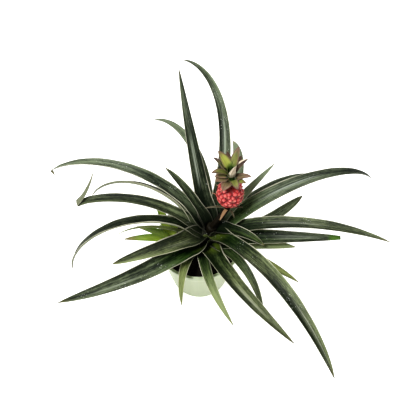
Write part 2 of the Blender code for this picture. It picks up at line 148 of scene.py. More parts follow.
# The fields of a Look:
#   light, yellow: lightness and hue; on bracts the share of dark tissue and the cream margin
#   dry: straw tip, or below 0 a freshly cut green end; on crown leaves aged brown
#   base: yellow-green young foot; on crown leaves papery all over
#   streak, at: strength and place of a pale streak painted as a gloss highlight; on crown leaves
#       streak is a
#   lighter brown, or darker below 0
#   flecked, tip: white scale flecks, added lightness toward the tip
#   gutter, wave, sheath: depth of the channel, wave of the edges, length of the sheath in mm
#   foot: deeper, cleaner green toward the foot
#   side: painted light, lighter toward the margin left of the heading, or right below 0; on crown
#       leaves papery
LOOKS = {
    "back_tall": Look(0.17, 0.15, streak=1.7, foot=0.0, side=0.2, at=0.42),
    "back_arch": Look(0.29, 0.1, 0.1, streak=0.8, flecked=0.8, side=-0.2, at=0.4),
    "back_hidden": Look(0.7, 0.1, 0.3),
    "back_left": Look(0.52, 0.1, 0.1),
    "back_right": Look(0.3, 0.1),
    "back_right_short": Look(0.68, 0.1),
    "left_short": Look(0.3, 0.2),
    "left_long": Look(0.38, 0.1, 0.2, flecked=0.7),
    "left_thin": Look(0.2, 0.25, 0.2),
    "left_creased": Look(0.3, 0.3, 0.2, tip=0.15, foot=0.0, side=0.15),
    "left_arch": Look(0.18, 0.25, 0.2),
    "left_hair": Look(1.1, 0.7, 0.3),
    "left_olive": Look(0.24, 0.5, 0.1, streak=0.25, tip=0.25, foot=0.0, side=0.3, at=0.3),
    "left_big": Look(0.27, 0.2, base=0.2, streak=0.4, flecked=0.6, foot=1.0, side=0.1, at=0.68),
    "front_left_small": Look(0.3, 0.75, base=0.2, tip=0.3),
    "front_small": Look(0.32, 0.5, tip=0.75, foot=0.7),
    "front_middle": Look(0.17, 0.5, 0.1, base=0.5, streak=0.6, tip=0.2, foot=0.5, side=0.1, at=0.62),
    "front_narrow": Look(0.36, 0.35, 0.1, foot=0.7),
    "front_big": Look(
        0.21, 0.4, base=0.35, streak=0.9, flecked=0.7, tip=0.2, foot=0.9, side=0.25, at=0.8),
    "front_green": Look(0.35, 1.0, base=0.5),
    "right_cut": Look(0.25, 0.15, -0.1, streak=1.1, flecked=0.5, foot=1.0, side=0.1, at=0.62),
    # right_under's lightness is set high as painted light, lifting it out of the shade of the leaves
    # over it
    "right_under": Look(1.5, 0.35, 0.1),
    "right_short": Look(0.18, 0.6, 0.3, foot=0.7),
    "right_long": Look(
        0.23, 0.35, 0.15, streak=1.1, flecked=0.4, tip=0.1, foot=0.4, side=0.15, at=0.48),
    "right_up": Look(0.45, 0.1, streak=1.0, flecked=0.2, tip=-0.15, foot=0.7, at=0.45),
    "right_blunt": Look(0.33, 0.25),
}
CROWN_LOOKS = {
    "front_top": Look(0.9, gutter=0.5),
    "right_top": Look(0.3, dry=0.15, gutter=0.5),
    "left_top": Look(0.25, dry=0.35, streak=-0.15, gutter=0.5),
    "left_middle": Look(0.38, dry=0.15, gutter=0.6),
    "left_low": Look(0.3, dry=0.4, streak=0.4, gutter=0.4),
    "left_base": Look(0.3, dry=0.6, streak=0.35, gutter=0.4),
    "right_middle": Look(0.05, dry=0.9, streak=-0.35, gutter=0.4, side=1.0),
    "right_low": Look(0.2, dry=0.75, streak=0.1, gutter=0.4),
    "back_top": Look(0.1, dry=0.8, streak=-0.2, gutter=0.5),
    "back_left": Look(0.2, dry=0.6, gutter=0.5),
    "back_right": Look(0.2, dry=0.6, gutter=0.5),
    "front_dry": Look(0.5, dry=0.7, base=0.8, streak=0.4, gutter=1.3, wave=6.0),
    "front_low": Look(0.42, dry=0.2, gutter=0.5),
    "front_left": Look(0.3, dry=0.75, streak=0.2, gutter=0.4),
    "front_right": Look(0.65, dry=0.05, gutter=0.5),
}
BRACT_LOOKS = {
    "left": Look(1.0, 0.2),
    "front_left": Look(0.48),
    "front_right": Look(1.0),
    "right": Look(0.9, 0.3),
}
PUP_LIGHT = {
    "left": 0.6, "back_left": 0.25, "back": 1.3, "back_right": 0.95, "front_left": 0.8, "front": 0.8}

# Where the finished blade's width, turn or taper differs from its plain CAD solid.
FULLER = {
    "back_arch": dict(width=22, taper=1.1),
    "back_hidden": dict(width=21, taper=3.2),
    "left_long": dict(width=24, roll=22),
    "left_thin": dict(width=18, roll=54),
    "left_creased": dict(taper=2.4, roll=14),
    "left_arch": dict(width=24, roll=33, droop=148, length=250),
    "left_olive": dict(width=26),
    "left_big": dict(width=29, height=22, rise=20),
    "front_narrow": dict(width=17),
    "front_green": dict(width=18),
    "right_cut": dict(taper=1.45),
    "right_under": dict(width=25),
}
CROWN_FULLER = {
    "front_left": dict(length=17, width=15, height=5.5),
    "front_low": dict(azimuth=292),
    "left_top": dict(width=15),
    "right_top": dict(width=12),
    "front_dry": dict(azimuth=300, rise=74, droop=10, length=24, width=9.5),
    "right_middle": dict(width=13),
}
BRACT_SLIMNESS = 0.45
BRACT_FULLER = {"front_left": dict(azimuth=242, height=6, width=4.5)}


def smooth(value):
    value = min(1.0, max(0.0, value))
    return value * value * (3 - 2 * value)


def outward(angle):
    return Vector((cos(angle), sin(angle), 0))


def sideways(angle):
    return Vector((-sin(angle), cos(angle), 0))


# ---------------- meshes


def bands(rings, count, first=0):
    """Quads that join each ring of count points to the next."""
    return [
        (a + j, a + (j + 1) % count, a + count + (j + 1) % count, a + count + j)
        for a in range(first, first + (rings - 1) * count, count) for j in range(count)]


def caps(rings, count):
    """Faces that close the first and the last ring."""
    last = (rings - 1) * count
    return [tuple(range(count))[::-1], tuple(range(last, last + count))]


def add_object(name, data):
    made = bpy.data.objects.new(name, data)
    bpy.context.scene.collection.objects.link(made)
    return made


def store(mesh, key, values):
    """Keep one vector per point for the materials to read."""
    layer = mesh.attributes.new(key, "FLOAT_VECTOR", "POINT")
    layer.data.foreach_set("vector", np.asarray(values, dtype=np.float32).ravel())


def make_mesh(name, vertices, faces, attributes, material):
    """A smooth mesh object in metres from millimetre vertices, with named point attributes."""
    mesh = bpy.data.meshes.new(name)
    mesh.from_pydata([tuple(v * MM for v in vertex) for vertex in vertices], [], faces)
    for key, values in attributes.items():
        store(mesh, key, values)
    mesh.materials.append(material)
    mesh.shade_smooth()
    return add_object(name, mesh)


def weld(made):
    """Join coincident points, drop empty faces and turn every face outward."""
    shape = bmesh.new()
    shape.from_mesh(made.data)
    bmesh.ops.remove_doubles(shape, verts=shape.verts, dist=0.00001)
    bmesh.ops.dissolve_degenerate(shape, edges=shape.edges, dist=0.000005)
    bmesh.ops.recalc_face_normals(shape, faces=shape.faces)
    shape.to_mesh(made.data)
    shape.free()
    return made


# ---------------- leaf geometry

SEAT_GAP = 1.1  # between the core and a blade's start
STATION_SPACING = 2.5
LEAST_STATIONS = 26
ROLL_REACH = 60  # distance over which a blade takes up its roll
FOLD_STEPS = 10
SHEATH_STEPS = 8
SHEATH_FLARE = 0.12
ROUNDING_REACH = 14  # how far up the blade its corner with the sheath is rounded
ROUNDING_PASSES = 6
LONG_BLADE = 70
LONG_COLUMNS, SHORT_COLUMNS = 15, 11
EDGE_CROWDING = 0.35  # share of a sine in the spacing of the columns
FOOT_REACH = 45.0  # distance over which a blade opens from its foot
CLASP_SHARE = 0.62
CLASP_CLEARANCE = 1.4
WIDEST_WRAP, LEAST_WRAP = 1.9, 0.05
EDGE_THICKNESS, MIDRIB_THICKNESS = 0.28, 1.5


def direction(heading, pitch):
    return Vector((
        cos(pitch) * cos(heading), cos(pitch) * sin(heading), sin(pitch)))


def taper(leaf, fraction):
    return max(0.0, 1 - max(0.0, fraction) ** leaf.taper) ** TIP_SHARPNESS


def fold_over(stations, crease):
    """Fold the stations past a crease over its line, upward for a positive fold."""
    at = min(range(len(stations)), key=lambda i: abs(stations[i][0] - crease.fraction))
    fraction, corner, side, normal = stations[at]
    skew, fold = radians(crease.skew), radians(crease.fold)
    line = side * cos(skew) + side.cross(normal) * sin(skew)
    radius = copysign(CREASE_RADIUS, fold)
    centre = corner + normal * radius
    bend = []
    for step in range(FOLD_STEPS + 1):
        turn = Matrix.Rotation(-fold * step / FOLD_STEPS, 3, line)
        bend.append((fraction, centre - turn @ normal * radius, line / cos(skew), turn @ normal))
    end = bend[-1][1]
    folded = [(f, end + turn @ (p - corner), turn @ s, turn @ n) for f, p, s, n in stations[at + 1:]]
    return stations[:at] + bend + folded


def free_stations(leaf, core, start, cut_at, spacing):
    """Stations along the free blade as (fraction, point, side, normal). Angles are in radians."""
    count = max(2, round(leaf.length * cut_at / spacing))
    stations, point, last = [], start.copy(), 0.0
    for i in range(count + 1):
        f = cut_at * i / count
        middle = (last + f) / 2
        pitch = leaf.rise - leaf.droop * middle ** leaf.ease
        step = direction(leaf.azimuth + leaf.sweep * middle, pitch)
        point = point + core.axes @ step * leaf.length * TIP_TRIM * (f - last)
        last = f
        heading = leaf.azimuth + leaf.sweep * f
        tangent = direction(heading, leaf.rise - leaf.droop * f ** leaf.ease)
        turn = Matrix.Rotation(leaf.roll * smooth(f * leaf.length / ROLL_REACH), 3, tangent)
        side = turn @ sideways(heading)
        stations.append((f, point, core.axes @ side, core.axes @ tangent.cross(side)))
    return stations


def blade_path(row, core, foot_height, look, cut_at, crease):
    """Stations along the midrib as (distance, fraction, point, side, normal), with a clasping sheath
    that climbs the core first. Distance is 0 where the blade leaves the core, negative below."""
    angles = ("azimuth", "sweep", "rise", "droop", "roll")
    leaf = row._replace(**{key: radians(getattr(row, key)) for key in angles})
    axis = core.head - core.foot
    along = axis.normalized()
    heading = core.axes @ outward(leaf.azimuth)
    fraction = (foot_height + leaf.height) / axis.length
    radius = core.foot_radius + (core.head_radius - core.foot_radius) * fraction
    slant = sqrt(1 - heading.dot(along) ** 2)
    start = core.foot + axis * fraction + heading * (radius + SEAT_GAP) / slant
    spacing = min(STATION_SPACING, leaf.length / LEAST_STATIONS)
    stations = free_stations(leaf, core, start, cut_at, spacing)
    if crease:
        stations = fold_over(stations, crease)
    # the sheath, from its foot up to where the blade leaves, tight at the foot
    first_side = stations[0][2]
    everything = []
    for i in range(SHEATH_STEPS):
        down = look.sheath * (1 - i / SHEATH_STEPS)
        spot = start - along * down - heading * SHEATH_FLARE * down
        everything.append((0.0, spot, first_side, heading.cross(first_side)))
    everything += stations
    # round the corner between sheath and blade
    points = [station[1] for station in everything]
    near = min(SHEATH_STEPS + max(3, round(ROUNDING_REACH / spacing)), len(everything) - 1)
    for _ in range(ROUNDING_PASSES):
        moved = list(points)
        for i in range(1, near):
            moved[i] = points[i] * 0.5 + (points[i - 1] + points[i + 1]) * 0.25
        points = moved
    result = []
    for i, (f, _, side, normal) in enumerate(everything):
        distance = -look.sheath * (1 - i / SHEATH_STEPS) if i < SHEATH_STEPS else f * leaf.length
        if i < near:
            tangent = (points[min(i + 1, len(points) - 1)] - points[max(i - 1, 0)]).normalized()
            side = (side - tangent * side.dot(tangent)).normalized()
            normal = tangent.cross(side)
        result.append((distance, f, points[i], side, normal))
    return leaf, result


def make_blade(name, row, core, foot_height, look, material, cut_at=1.0, crease=None, base=None):
    """A leaf: a channelled blade with thin edges, lofted along its arched midrib."""
    leaf, stations = blade_path(row, core, foot_height, look, cut_at, crease)
    columns = LONG_COLUMNS if row.length > LONG_BLADE else SHORT_COLUMNS
    rng = np.random.default_rng(sum(ord(c) * (i + 3) for i, c in enumerate(name)) % 9973)
    long_wave, short_wave, ribs, _ = rng.uniform(0, 6.28, 4)  # phases
    number = float(rng.uniform(0, 1))
    base_width = base or (leaf.width * 1.2 + 4)
    lanes = [2 * i / (columns - 1) - 1 for i in range(columns)]
    lanes = [sin(pi / 2 * lane) * EDGE_CROWDING + lane * (1 - EDGE_CROWDING) for lane in lanes]
    reach = min(FOOT_REACH, leaf.length / 3)
    vertices, coords, tones = [], [], []
    for distance, f, point, side, normal in stations:
        open_up = smooth(distance / reach)
        width = (base_width + (leaf.width - base_width) * open_up) * taper(leaf, f)
        width = max(TIP_WIDTH, width)
        half = width / 2
        clasp = 1 - smooth(distance / (reach * CLASP_SHARE))
        wrap = min(WIDEST_WRAP, half / (core.foot_radius + CLASP_CLEARANCE))
        angle = look.gutter * (1 - clasp) + wrap * clasp
        flat = min(1.0, abs(f - crease.fraction) / CREASE_FLAT) if crease else 1.0
        angle = max(LEAST_WRAP, angle * (flat if distance > 0 else 1))
        stretch = (angle / sin(min(angle, 1.5))) ** (1 - clasp)
        wave = look.wave * 0.035 * half * sin(distance / 13 + long_wave)
        wave += look.wave * 0.02 * half * sin(distance / 5.3 + short_wave)
        middle_thick = min(MIDRIB_THICKNESS, 0.45 + width * 0.06)
        for face in (1, -1):
            for s in lanes[::face]:
                a = angle * s
                x = half * stretch * sin(a) / angle
                y = half * stretch * (1 - cos(a)) / angle
                thick = EDGE_THICKNESS + (middle_thick - EDGE_THICKNESS) * (1 - s * s)
                y += wave * abs(s) ** 3 * (1 if s > 0 else -0.8) * (1 - clasp)
                y += 0.1 * half / 9 * cos(s * 9.5 + ribs) * (1 - clasp) * (1 - abs(s))
                x -= sin(a) * thick / 2 * face
                y += cos(a) * thick / 2 * face
                vertices.append(point + side * x + normal * y)
                coords.append((s, distance / 100, face))
                tones.append((f, number, clasp))
    ring = 2 * columns
    faces = bands(len(stations), ring)
    for offset, order in ((0, 1), ((len(stations) - 1) * ring, -1)):
        for j in range(columns - 1):
            quad = (offset + j, offset + ring - 1 - j, offset + ring - 2 - j, offset + j + 1)
            faces.append(quad[::order])
    layers = {"lf": coords, "tone": tones}
    same_all_over = {
        "look": (look.light, look.yellow, look.dry), "shade": (look.base, look.streak, look.flecked),
        "ends": (look.tip, look.foot, look.side), "mark": (look.at, 0, 0)}
    for key, values in same_all_over.items():
        layers[key] = [values] * len(vertices)
    return make_mesh(name, vertices, faces, layers, material)


# ---------------- materials


class Value:
    """A node's output, to be added, subtracted and multiplied in an expression."""

    def __init__(self, nodes, socket):
        self.nodes = nodes
        self.socket = socket

    def __add__(self, other):
        return self.nodes.math("ADD", self, other)

    def __radd__(self, other):
        return self.nodes.math("ADD", other, self)

    def __sub__(self, other):
        return self.nodes.math("SUBTRACT", self, other)

    def __rsub__(self, other):
        return self.nodes.math("SUBTRACT", other, self)

    def __mul__(self, other):
        return self.nodes.math("MULTIPLY", self, other)

    def __abs__(self):
        return self.nodes.math("ABSOLUTE", self)


class Nodes:
    """A few words for writing a node tree as expressions."""

    def __init__(self, name):
        self.material = bpy.data.materials.new(name)
        self.material.use_nodes = True
        self.tree = self.material.node_tree
        self.shader = self.tree.nodes["Principled BSDF"]

    def link(self, value, socket):
        """Feed a socket from a Value, a number or a colour of three numbers."""
        if isinstance(value, Value):
            self.tree.links.new(value.socket, socket)
        elif socket.type == "RGBA":
            socket.default_value = (*value, 1.0)
        else:
            socket.default_value = value

    def node(self, kind, **inputs):
        """A node with these inputs, whose names have _ for a space."""
        made = self.tree.nodes.new("ShaderNode" + kind)
        for name, value in inputs.items():
            self.link(value, made.inputs[name.replace("_", " ")])
        return made

    def output(self, node, name):
        return Value(self, node.outputs[name])

    def math(self, operation, a, b=0.0):
        node = self.node("Math")
        node.operation = operation
        self.link(a, node.inputs[0])
        self.link(b, node.inputs[1])
        return self.output(node, 0)

    def mix(self, factor, a, b):
        """Colour a where the factor is 0, colour b where it is 1."""
        node = self.node("Mix")
        node.data_type = "RGBA"
        self.link(factor, node.inputs["Factor"])
        for name, value in (("A", a), ("B", b)):
            self.link(value, [s for s in node.inputs if s.name == name and s.type == "RGBA"][0])
        return Value(self, [s for s in node.outputs if s.type == "RGBA"][0])

    def attribute(self, name):
        """The three numbers that a mesh keeps at its points under this name."""
        node = self.node("Attribute")
        node.attribute_name = name
        parts = self.node("SeparateXYZ", Vector=self.output(node, "Vector"))
        return [self.output(parts, axis) for axis in "XYZ"]

    def vector(self, x, y, z):
        return self.output(self.node("CombineXYZ", X=x, Y=y, Z=z), 0)

    def noise(self, vector, scale, detail=2.0, roughness=0.5):
        node = self.node("TexNoise", Vector=vector, Scale=scale, Detail=detail, Roughness=roughness)
        return self.output(node, "Fac")

    def cells(self, vector, scale):
        """Distance to the middle of the nearest random cell."""
        return self.output(self.node("TexVoronoi", Vector=vector, Scale=scale), "Distance")

    def ramp(self, value, low, high):
        """A smooth step from 0 at low to 1 at high."""
        node = self.node("MapRange", Value=value, From_Min=low, From_Max=high)
        node.interpolation_type = "SMOOTHSTEP"
        return self.output(node, "Result")

    def object_coordinates(self):
        return self.output(self.node("TexCoord"), "Object")

    def bump(self, height, distance, strength):
        node = self.node("Bump", Strength=strength, Distance=distance, Height=height)
        self.link(self.output(node, "Normal"), self.shader.inputs["Normal"])

    def translucent(self, weight, radius):
        for name, value in (("Weight", weight), ("Radius", radius), ("Scale", 1.0)):
            self.shader.inputs["Subsurface " + name].default_value = value

    def surface(self, color, roughness, specular=0.5):
        self.link(color, self.shader.inputs["Base Color"])
        self.link(roughness, self.shader.inputs["Roughness"])
        self.link(specular, self.shader.inputs["Specular IOR Level"])


def leaf_material():
    n = Nodes("leaf_surface")
    across, along, face = n.attribute("lf")
    fraction, number, _ = n.attribute("tone")
    light, yellow, dry = n.attribute("look")
    base, streak, flecked = n.attribute("shade")
    tip_light, foot_green, lit_side = n.attribute("ends")
    streak_at, _, _ = n.attribute("mark")
    shift = number * 37.0

    def grain(wide, long, detail, roughness):
        """Noise drawn out to these scales across and along the blade."""
        place_at = n.vector(across * wide, along * long, shift)
        return n.noise(place_at, 1.0, detail, roughness)

    broad = grain(3.0, 0.5, 2.0, 0.5)
    stripes = grain(9.0, 0.3, 2.0, 0.6)
    fine = grain(28.0, 0.6, 2.0, 0.6)
    mottle = grain(8.0, 14.0, 3.0, 0.6)
    patches = n.noise(n.vector(across, along * 1.3, shift), 1.3, 3.0, 0.5)

    dark = n.mix(yellow, (0.0035, 0.0085, 0.0045), (0.012, 0.016, 0.003))
    pale = n.mix(yellow, (0.185, 0.225, 0.15), (0.29, 0.34, 0.1))
    level = light + (patches - 0.5) * 0.8 + (broad - 0.5) * 0.55
    level = level + (stripes - 0.5) * 0.5 + (fine - 0.5) * 0.55 + (mottle - 0.5) * 0.6
    # painted light: the blade lighter toward one margin and darker toward the other, growing in over
    # its first half
    level = level + n.ramp(fraction, 0.1, 0.5) * (across * lit_side)
    level = level + n.ramp(fraction, 0.25, 0.95) * tip_light
    level = n.ramp(level, 0.09, 0.82)
    upper = n.mix(level, dark, pale)
    upper = n.mix(n.ramp(fine, 0.52, 0.78) * 0.18, upper, (0.2, 0.24, 0.15))

    # a deeper, cleaner green toward the foot
    fresh = n.mix(level, (0.003, 0.013, 0.002), (0.08, 0.16, 0.03))
    upper = n.mix(n.ramp(along, 1.1, 0.35) * foot_green, upper, fresh)

    # painted highlight: a pale gloss streak off the midrib, over one stretch of the blade
    band = n.ramp(abs(across - 0.12), 0.3, 0.04)
    window = n.ramp(abs(fraction - streak_at), 0.21, 0.05)
    highlight_streak = band * window * (streak * n.ramp(stripes, 0.35, 0.65))
    upper = n.mix(highlight_streak, upper, n.mix(yellow, (0.36, 0.42, 0.34), (0.45, 0.43, 0.27)))

    # the underside, paler and finely lined, darker outward
    under_base = n.mix(yellow, (0.22, 0.25, 0.17), (0.12, 0.16, 0.035))
    under_line = n.mix(yellow, (0.52, 0.5, 0.38), (0.3, 0.33, 0.12))
    under = n.mix(n.ramp(fine, 0.35, 0.7), under_base, under_line)
    under = n.mix(n.ramp(fraction, 0.4, 0.85) * 0.45, under, (0.05, 0.065, 0.03))
    below = n.math("LESS_THAN", face, 0.0)
    surface = n.mix(below, upper, under)

    # cream margins, partly the leaf's own pale edge and partly a painted edge highlight, a little
    # uneven and worn in places
    edge = abs(across) + (fine - 0.5) * 0.05
    edge = edge + n.ramp(along, 1.2, 0.45) * 0.04
    wear_at = n.vector(n.math("GREATER_THAN", across, 0.0), along * 1.6, shift)
    worn = n.ramp(n.noise(wear_at, 1.0, 1.0), 0.36, 0.6)
    margin = n.ramp(edge, 0.92, 0.98) * (0.35 + worn * 0.55)
    surface = n.mix(margin, surface, (0.62, 0.6, 0.46))

    # shade-dark where the blade clasps the stem, yellow-green on the younger of them
    foot = n.ramp(along, 0.5, 0.04) * (0.88 - base * 0.3)
    surface = n.mix(foot, surface, (0.004, 0.007, 0.004))
    young = n.ramp(n.noise(n.vector(across, along, shift), 1.8), 0.3, 0.6)
    young = n.ramp(along, 0.34, 0.1) * young * base
    surface = n.mix(young * 0.85, surface, (0.25, 0.36, 0.04))

    # tips turn straw and brown
    tip = n.ramp(fraction, 0.92, 0.99) * (0.3 + dry)
    surface = n.mix(n.math("MINIMUM", tip, 1.0), surface, (0.26, 0.23, 0.11))

    # scattered white scale flecks in loose clusters
    fleck_at = n.vector(across, along * 8.0, shift)
    near = n.ramp(n.cells(fleck_at, 5.0), 0.27, 0.12)
    crowd = n.ramp(n.noise(fleck_at, 0.55, 1.0) + flecked * 0.2, 0.68, 0.78)
    surface = n.mix(near * crowd * 0.8, surface, (0.6, 0.63, 0.56))

    # a freshly cut end shows brighter green; a negative dryness marks it
    cut_end = n.ramp(fraction, 0.82, 0.87) * n.math("LESS_THAN", dry, -0.05)
    surface = n.mix(cut_end, surface, (0.075, 0.16, 0.02))

    rough = 0.32 + stripes * 0.16 + below * 0.25
    n.surface(surface, rough, 0.05 + n.ramp(along, 0.15, 0.9) * 0.17)
    n.bump(broad * 0.5 + (stripes * 0.6 + fine * 0.3), 0.0013, 0.9)
    return n.material


def pup_material():
    n = Nodes("pup_leaf_surface")
    across, along, face = n.attribute("lf")
    fraction, number, _ = n.attribute("tone")
    light, _, _ = n.attribute("look")
    shift = number * 37.0
    fine = n.noise(n.vector(across * 12.0, along * 1.5, shift), 1.0)
    patches = n.noise(n.vector(across, along * 5.0, shift), 1.5)
    green = n.mix(light + (patches - 0.5) * 0.6, (0.05, 0.1, 0.01), (0.34, 0.45, 0.045))
    green = n.mix(fine * 0.35, green, (0.36, 0.46, 0.09))
    # young blades are paler in the middle and darker to the margin
    margin = n.ramp(abs(across), 0.35, 0.9) * 0.45
    green = n.mix(margin, green, (0.1, 0.19, 0.012))
    below = n.math("LESS_THAN", face, 0.0)
    green = n.mix(below * 0.4, green, (0.36, 0.44, 0.2))
    tip = n.ramp(fraction, 0.62, 0.95)
    green = n.mix(tip * 0.7, green, (0.3, 0.17, 0.1))
    n.surface(green, 0.36 + fine * 0.15)
    n.bump(fine, 0.0004, 0.6)
    n.translucent(0.15, (0.002, 0.003, 0.001))
    return n.material


def crown_material():
    """Lime in the middle of a blade, brown and papery to its edge and tip, darker when aged."""
    n = Nodes("crown_leaf_surface")
    across, along, face = n.attribute("lf")
    fraction, number, clasp = n.attribute("tone")
    light, _, dry = n.attribute("look")
    papery_all_over, streak, _ = n.attribute("shade")
    _, _, papery_edge = n.attribute("ends")
    shift = number * 37.0
    fine = n.noise(n.vector(across * 9.0, along * 2.5, shift), 1.0)
    patches = n.noise(n.vector(across, along * 9.0, shift), 1.6, 3.0)
    tone = (patches - 0.5) * 0.5 + light + (fine - 0.5) * 0.7
    green = n.mix(tone, (0.05, 0.07, 0.012), (0.38, 0.41, 0.085))
    paleness = patches * 0.5 + ((fine - 0.5) * 0.8 + streak * 0.6)
    brown = n.mix(paleness, (0.045, 0.022, 0.016), (0.46, 0.3, 0.19))
    edge = n.ramp(abs(across) + fine * 0.45, 0.8, 1.12)
    aged = n.ramp(fraction, 0.5, 0.92) * 0.9 + edge * 0.7
    color = n.mix(n.math("MINIMUM", aged + dry, 1.0), green, brown)
    outer = n.mix(dry * 0.5, (0.26, 0.25, 0.11), (0.34, 0.26, 0.17))
    color = n.mix(n.math("LESS_THAN", face, 0.0) * 0.6, color, outer)
    papery = n.mix(n.ramp(fine, 0.35, 0.62), (0.36, 0.25, 0.17), (0.86, 0.78, 0.62))
    color = n.mix(papery_all_over, color, papery)
    color = n.mix(n.ramp(across, 0.38, 0.55) * papery_edge, color, papery)
    foot = n.mix(dry, (0.02, 0.085, 0.008), (0.05, 0.03, 0.015))
    color = n.mix(clasp * (0.65 - papery_edge * 0.5), color, foot)
    n.surface(color, 0.42 + fine * 0.2, 0.3)
    n.bump(fine, 0.0005, 0.8)
    return n.material


def bract_material():
    n = Nodes("bract_surface")
    across, along, _ = n.attribute("lf")
    _, number, _ = n.attribute("tone")
    dark_share, cream_margin, _ = n.attribute("look")
    fine = n.noise(n.vector(across * 9.0, along * 3.0, number), 1.0)
    peach = n.mix(fine, (0.42, 0.2, 0.09), (0.7, 0.46, 0.26))
    dark = n.mix(fine, (0.035, 0.03, 0.016), (0.12, 0.1, 0.05))
    margin = n.ramp(abs(across), 0.8, 0.95)
    dark = n.mix(margin * cream_margin, dark, (0.6, 0.58, 0.46))
    n.surface(n.mix(dark_share, peach, dark), 0.5, 0.3)
    n.bump(fine, 0.0003, 0.6)
    return n.material


def fruit_material():
    n = Nodes("fruit_surface")
    groove, lobe, highlight_share = n.attribute("eye")
    grain = n.noise(n.object_coordinates(), 700.0)
    red = n.mix(n.ramp(lobe, 0.08, 0.62), (0.24, 0.01, 0.012), (0.53, 0.043, 0.042))
    # painted highlight: a pink-white shine on the top of each lobe, stronger on some eyes
    lobe_highlight = n.ramp(lobe, 0.62, 1.0) * (0.45 + highlight_share * 0.4)
    red = n.mix(lobe_highlight, red, (0.88, 0.25, 0.22))
    red = n.mix(groove * 0.8, red, (0.12, 0.005, 0.008))
    red = n.mix(n.ramp(grain, 0.62, 0.72) * 0.25, red, (0.8, 0.3, 0.24))
    n.surface(red, 0.3 + grain * 0.12, 0.45)
    n.bump(grain, 0.0002, 0.4)
    return n.material


def spike_material():
    n = Nodes("eye_bract_surface")
    fraction, number, _ = n.attribute("tone")
    tan = n.mix(number, (0.45, 0.2, 0.12), (0.66, 0.44, 0.28))
    n.surface(n.mix(n.ramp(fraction, 0.05, 0.4), (0.62, 0.1, 0.1), tan), 0.5)
    return n.material


def pot_material():
    n = Nodes("pot_plastic")
    angle, height, _ = n.attribute("pot")
    streaks = n.noise(n.vector(angle * 14.0, height * 1.2, 0.0), 1.6, 3.0, 0.6)
    cloud = n.noise(n.object_coordinates(), 22.0)
    pale = n.mix(streaks, (0.27, 0.33, 0.17), (0.41, 0.46, 0.26))
    pale = n.mix(cloud * 0.3, pale, (0.53, 0.57, 0.41))
    # painted shade on the thin lip, greyer where the dark soil behind shows through the plastic; the
    # edge of the base is lighter and greener
    lip = n.ramp(height, 0.955, 0.985)
    base = n.ramp(height, 0.035, 0.0)
    pale = n.mix(lip * 0.6, pale, (0.42, 0.48, 0.36))
    pale = n.mix(base * 0.4, pale, (0.55, 0.66, 0.4))
    n.surface(pale, 0.3 + streaks * 0.15)
    n.bump(streaks, 0.0003, 0.4)
    n.translucent(0.25, (0.004, 0.005, 0.003))
    return n.material


def soil_material():
    n = Nodes("soil_surface")
    place_at = n.object_coordinates()
    coarse = n.noise(place_at, 260.0, 4.0, 0.7)
    brown = n.mix(n.ramp(coarse, 0.35, 0.75), (0.0015, 0.0013, 0.0012), (0.016, 0.012, 0.009))
    chips = n.ramp(n.cells(place_at, 420.0), 0.22, 0.1)
    bark = chips * n.ramp(n.noise(place_at, 90.0), 0.58, 0.66)
    n.surface(n.mix(bark, brown, (0.16, 0.055, 0.028)), 0.9, 0.15)
    n.bump(coarse, 0.0015, 0.9)
    return n.material


def stem_material(name, low, high):
    n = Nodes(name)
    across, along, _ = n.attribute("lf")
    fibre = n.noise(n.vector(across * 14.0, along * 4.0, 0.0), 1.0, 3.0)
    rings = n.noise(n.vector(0.0, along * 26.0, 0.0), 1.0, 1.0)
    color = n.mix((fibre + rings) * 0.5, low, high)
    n.surface(color, 0.5 + fibre * 0.2, 0.15)
    n.bump(fibre + rings * 0.5, 0.0006, 0.8)
    return n.material


# ---------------- turned and tubular pieces

POT_HEIGHT = 100
POT_RIM = 60
POT_BASE = 40
POT_WALL = 1.4
TUBE_SIDES = 24


def lathe(name, profile, steps, material):
    """Turn an (r, z) outline in mm about Z. The attribute holds angle and height for the material."""
    vertices, coords, faces = [], [], []
    for i in range(steps):
        angle = tau * i / steps
        for r, z in profile:
            vertices.append((r * cos(angle), r * sin(angle), z))
            coords.append((abs(angle / pi - 1) * 2, z / POT_HEIGHT, 0))
    count = len(profile)
    for i in range(steps):
        k = (i + 1) % steps
        for j in range(count - 1):
            faces.append((k * count + j, k * count + j + 1, i * count + j + 1, i * count + j))
    return weld(make_mesh(name, vertices, faces, {"pot": coords}, material))


def tube(name, points, radius_at, material):
    """A closed tube along points in mm. radius_at(fraction, angle) gives its radius."""
    vertices, coords = [], []
    last = len(points) - 1
    side = None
    for i, point in enumerate(points):
        tangent = (points[min(i + 1, last)] - points[max(i - 1, 0)]).normalized()
        if side is None:
            side = tangent.cross(Vector((0, 1, 0))).normalized()
        side = (side - tangent * side.dot(tangent)).normalized()
        up = tangent.cross(side)
        for j in range(TUBE_SIDES):
            a = tau * j / TUBE_SIDES
            r = radius_at(i / last, a)
            vertices.append(point + side * r * cos(a) + up * r * sin(a))
            coords.append((abs(a / pi - 1) * 2, (point - points[0]).length / 100, 0))
    faces = bands(len(points), TUBE_SIDES) + caps(len(points), TUBE_SIDES)
    return weld(make_mesh(name, vertices, faces, {"lf": coords}, material))


def bezier(a, b, c, d, count):
    return [a * (1 - t) ** 3 + b * 3 * t * (1 - t) ** 2 + c * 3 * t * t * (1 - t) + d * t ** 3
            for t in (i / count for i in range(count + 1))]


def axes_along(axis):
    z_axis = axis.normalized()
    y_axis = z_axis.cross(Vector((1, 0, 0))).normalized()
    return Matrix((y_axis.cross(z_axis), y_axis, z_axis)).transposed()


# ---------------- the fruit

